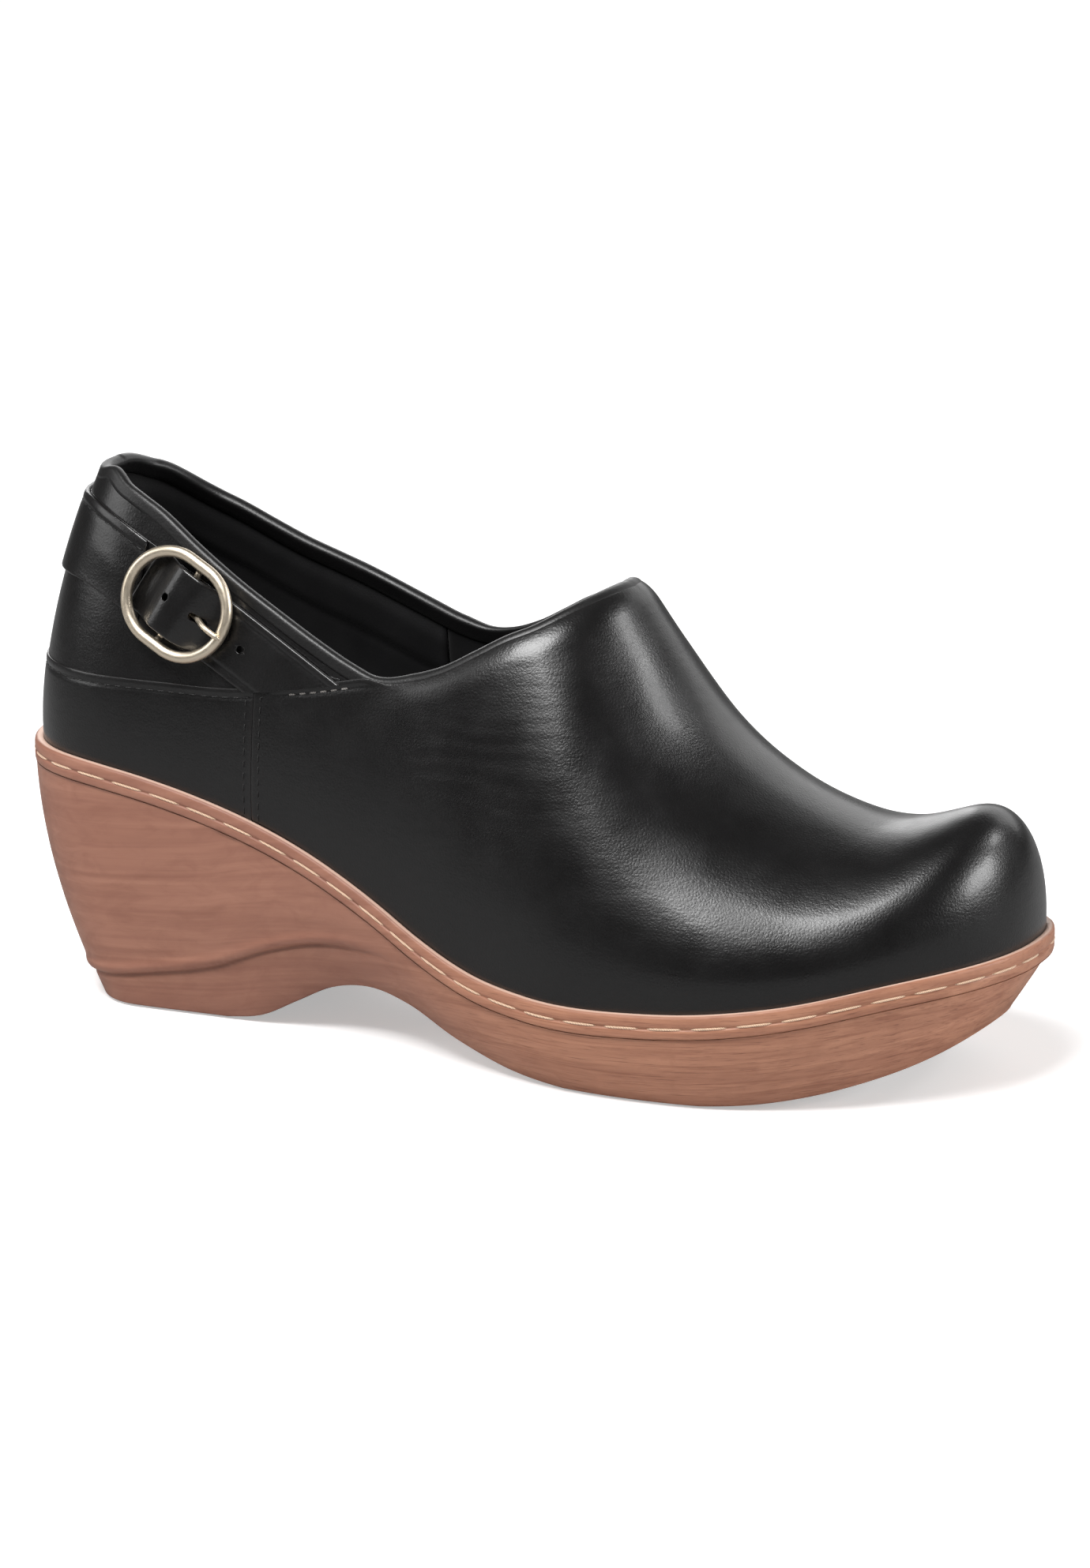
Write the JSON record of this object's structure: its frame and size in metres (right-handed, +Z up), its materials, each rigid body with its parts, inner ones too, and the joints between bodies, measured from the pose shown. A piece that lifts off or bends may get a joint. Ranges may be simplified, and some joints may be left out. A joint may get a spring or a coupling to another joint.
{
  "type": "slip-on wedge clog",
  "caption": "Closed-back slip-on clog for the right foot: black leather upper with a side strap and ring buckle, on a stitched wood-look wedge sole.",
  "frame": {"origin": "on the ground, at the middle of the heel's contact face", "axes": "+X to the toe, +Y to the inner side of the foot, +Z up"},
  "size_m": [0.2565, 0.1036, 0.1323],
  "materials": {
    "sole_wood_look": "matte, moulded with a wood grain",
    "tread_rubber": "matte",
    "thread_cream": "twisted thread",
    "thread_black": "twisted thread",
    "upper_leather": "smooth, semi-gloss",
    "lining_leather": "smooth, matte",
    "footbed_foam": "closed-cell foam, matte",
    "board_fibre": "pressed fibreboard, matte",
    "filler_cork": "granulated cork, matte",
    "stiffener": "thermoformed sheet, matte",
    "padding_foam": "soft open-cell foam",
    "shank_steel": "satin",
    "buckle_metal": "polished, pale champagne gold"
  },
  "bodies": {
    "shoe": {"wedge_sole": "sole_wood_look", "heel_lift": "tread_rubber", "forefoot_tread": "tread_rubber", "welt": "sole_wood_look", "welt_stitching": "thread_cream", "steel_shank": "shank_steel", "forefoot_filler": "filler_cork", "insole_board": "board_fibre", "footbed": "footbed_foam", "footbed_cover": "lining_leather", "vamp": "upper_leather", "heel_foxing": "upper_leather", "quarter_lateral": "upper_leather", "quarter_medial": "upper_leather", "collar_band": "upper_leather", "topline_binding": "upper_leather", "heel_strap": "upper_leather", "heel_counter": "stiffener", "toe_puff": "stiffener", "collar_padding": "padding_foam", "vamp_lining": "lining_leather", "quarter_lining": "lining_leather", "upper_stitching": "thread_black", "side_strap": "upper_leather", "buckle_chape": "upper_leather"},
    "ring": {"buckle_ring": "buckle_metal"},
    "prong": {"buckle_prong": "buckle_metal"}
  },
  "joints": [
    {"name": "ring_tilt", "type": "hinge", "parent": "shoe", "child": "ring", "pos_m": [0.00942, -0.0302, 0.10255], "axis": [-0.4826, -0.1987, -0.853], "range_deg": [-1.5, 1.5]},
    {"name": "prong_lift", "type": "hinge", "parent": "ring", "child": "prong", "pos_m": [0.00942, -0.0302, 0.10255], "axis": [-0.4826, -0.1987, -0.853], "range_deg": [0, 4]}
  ]
}
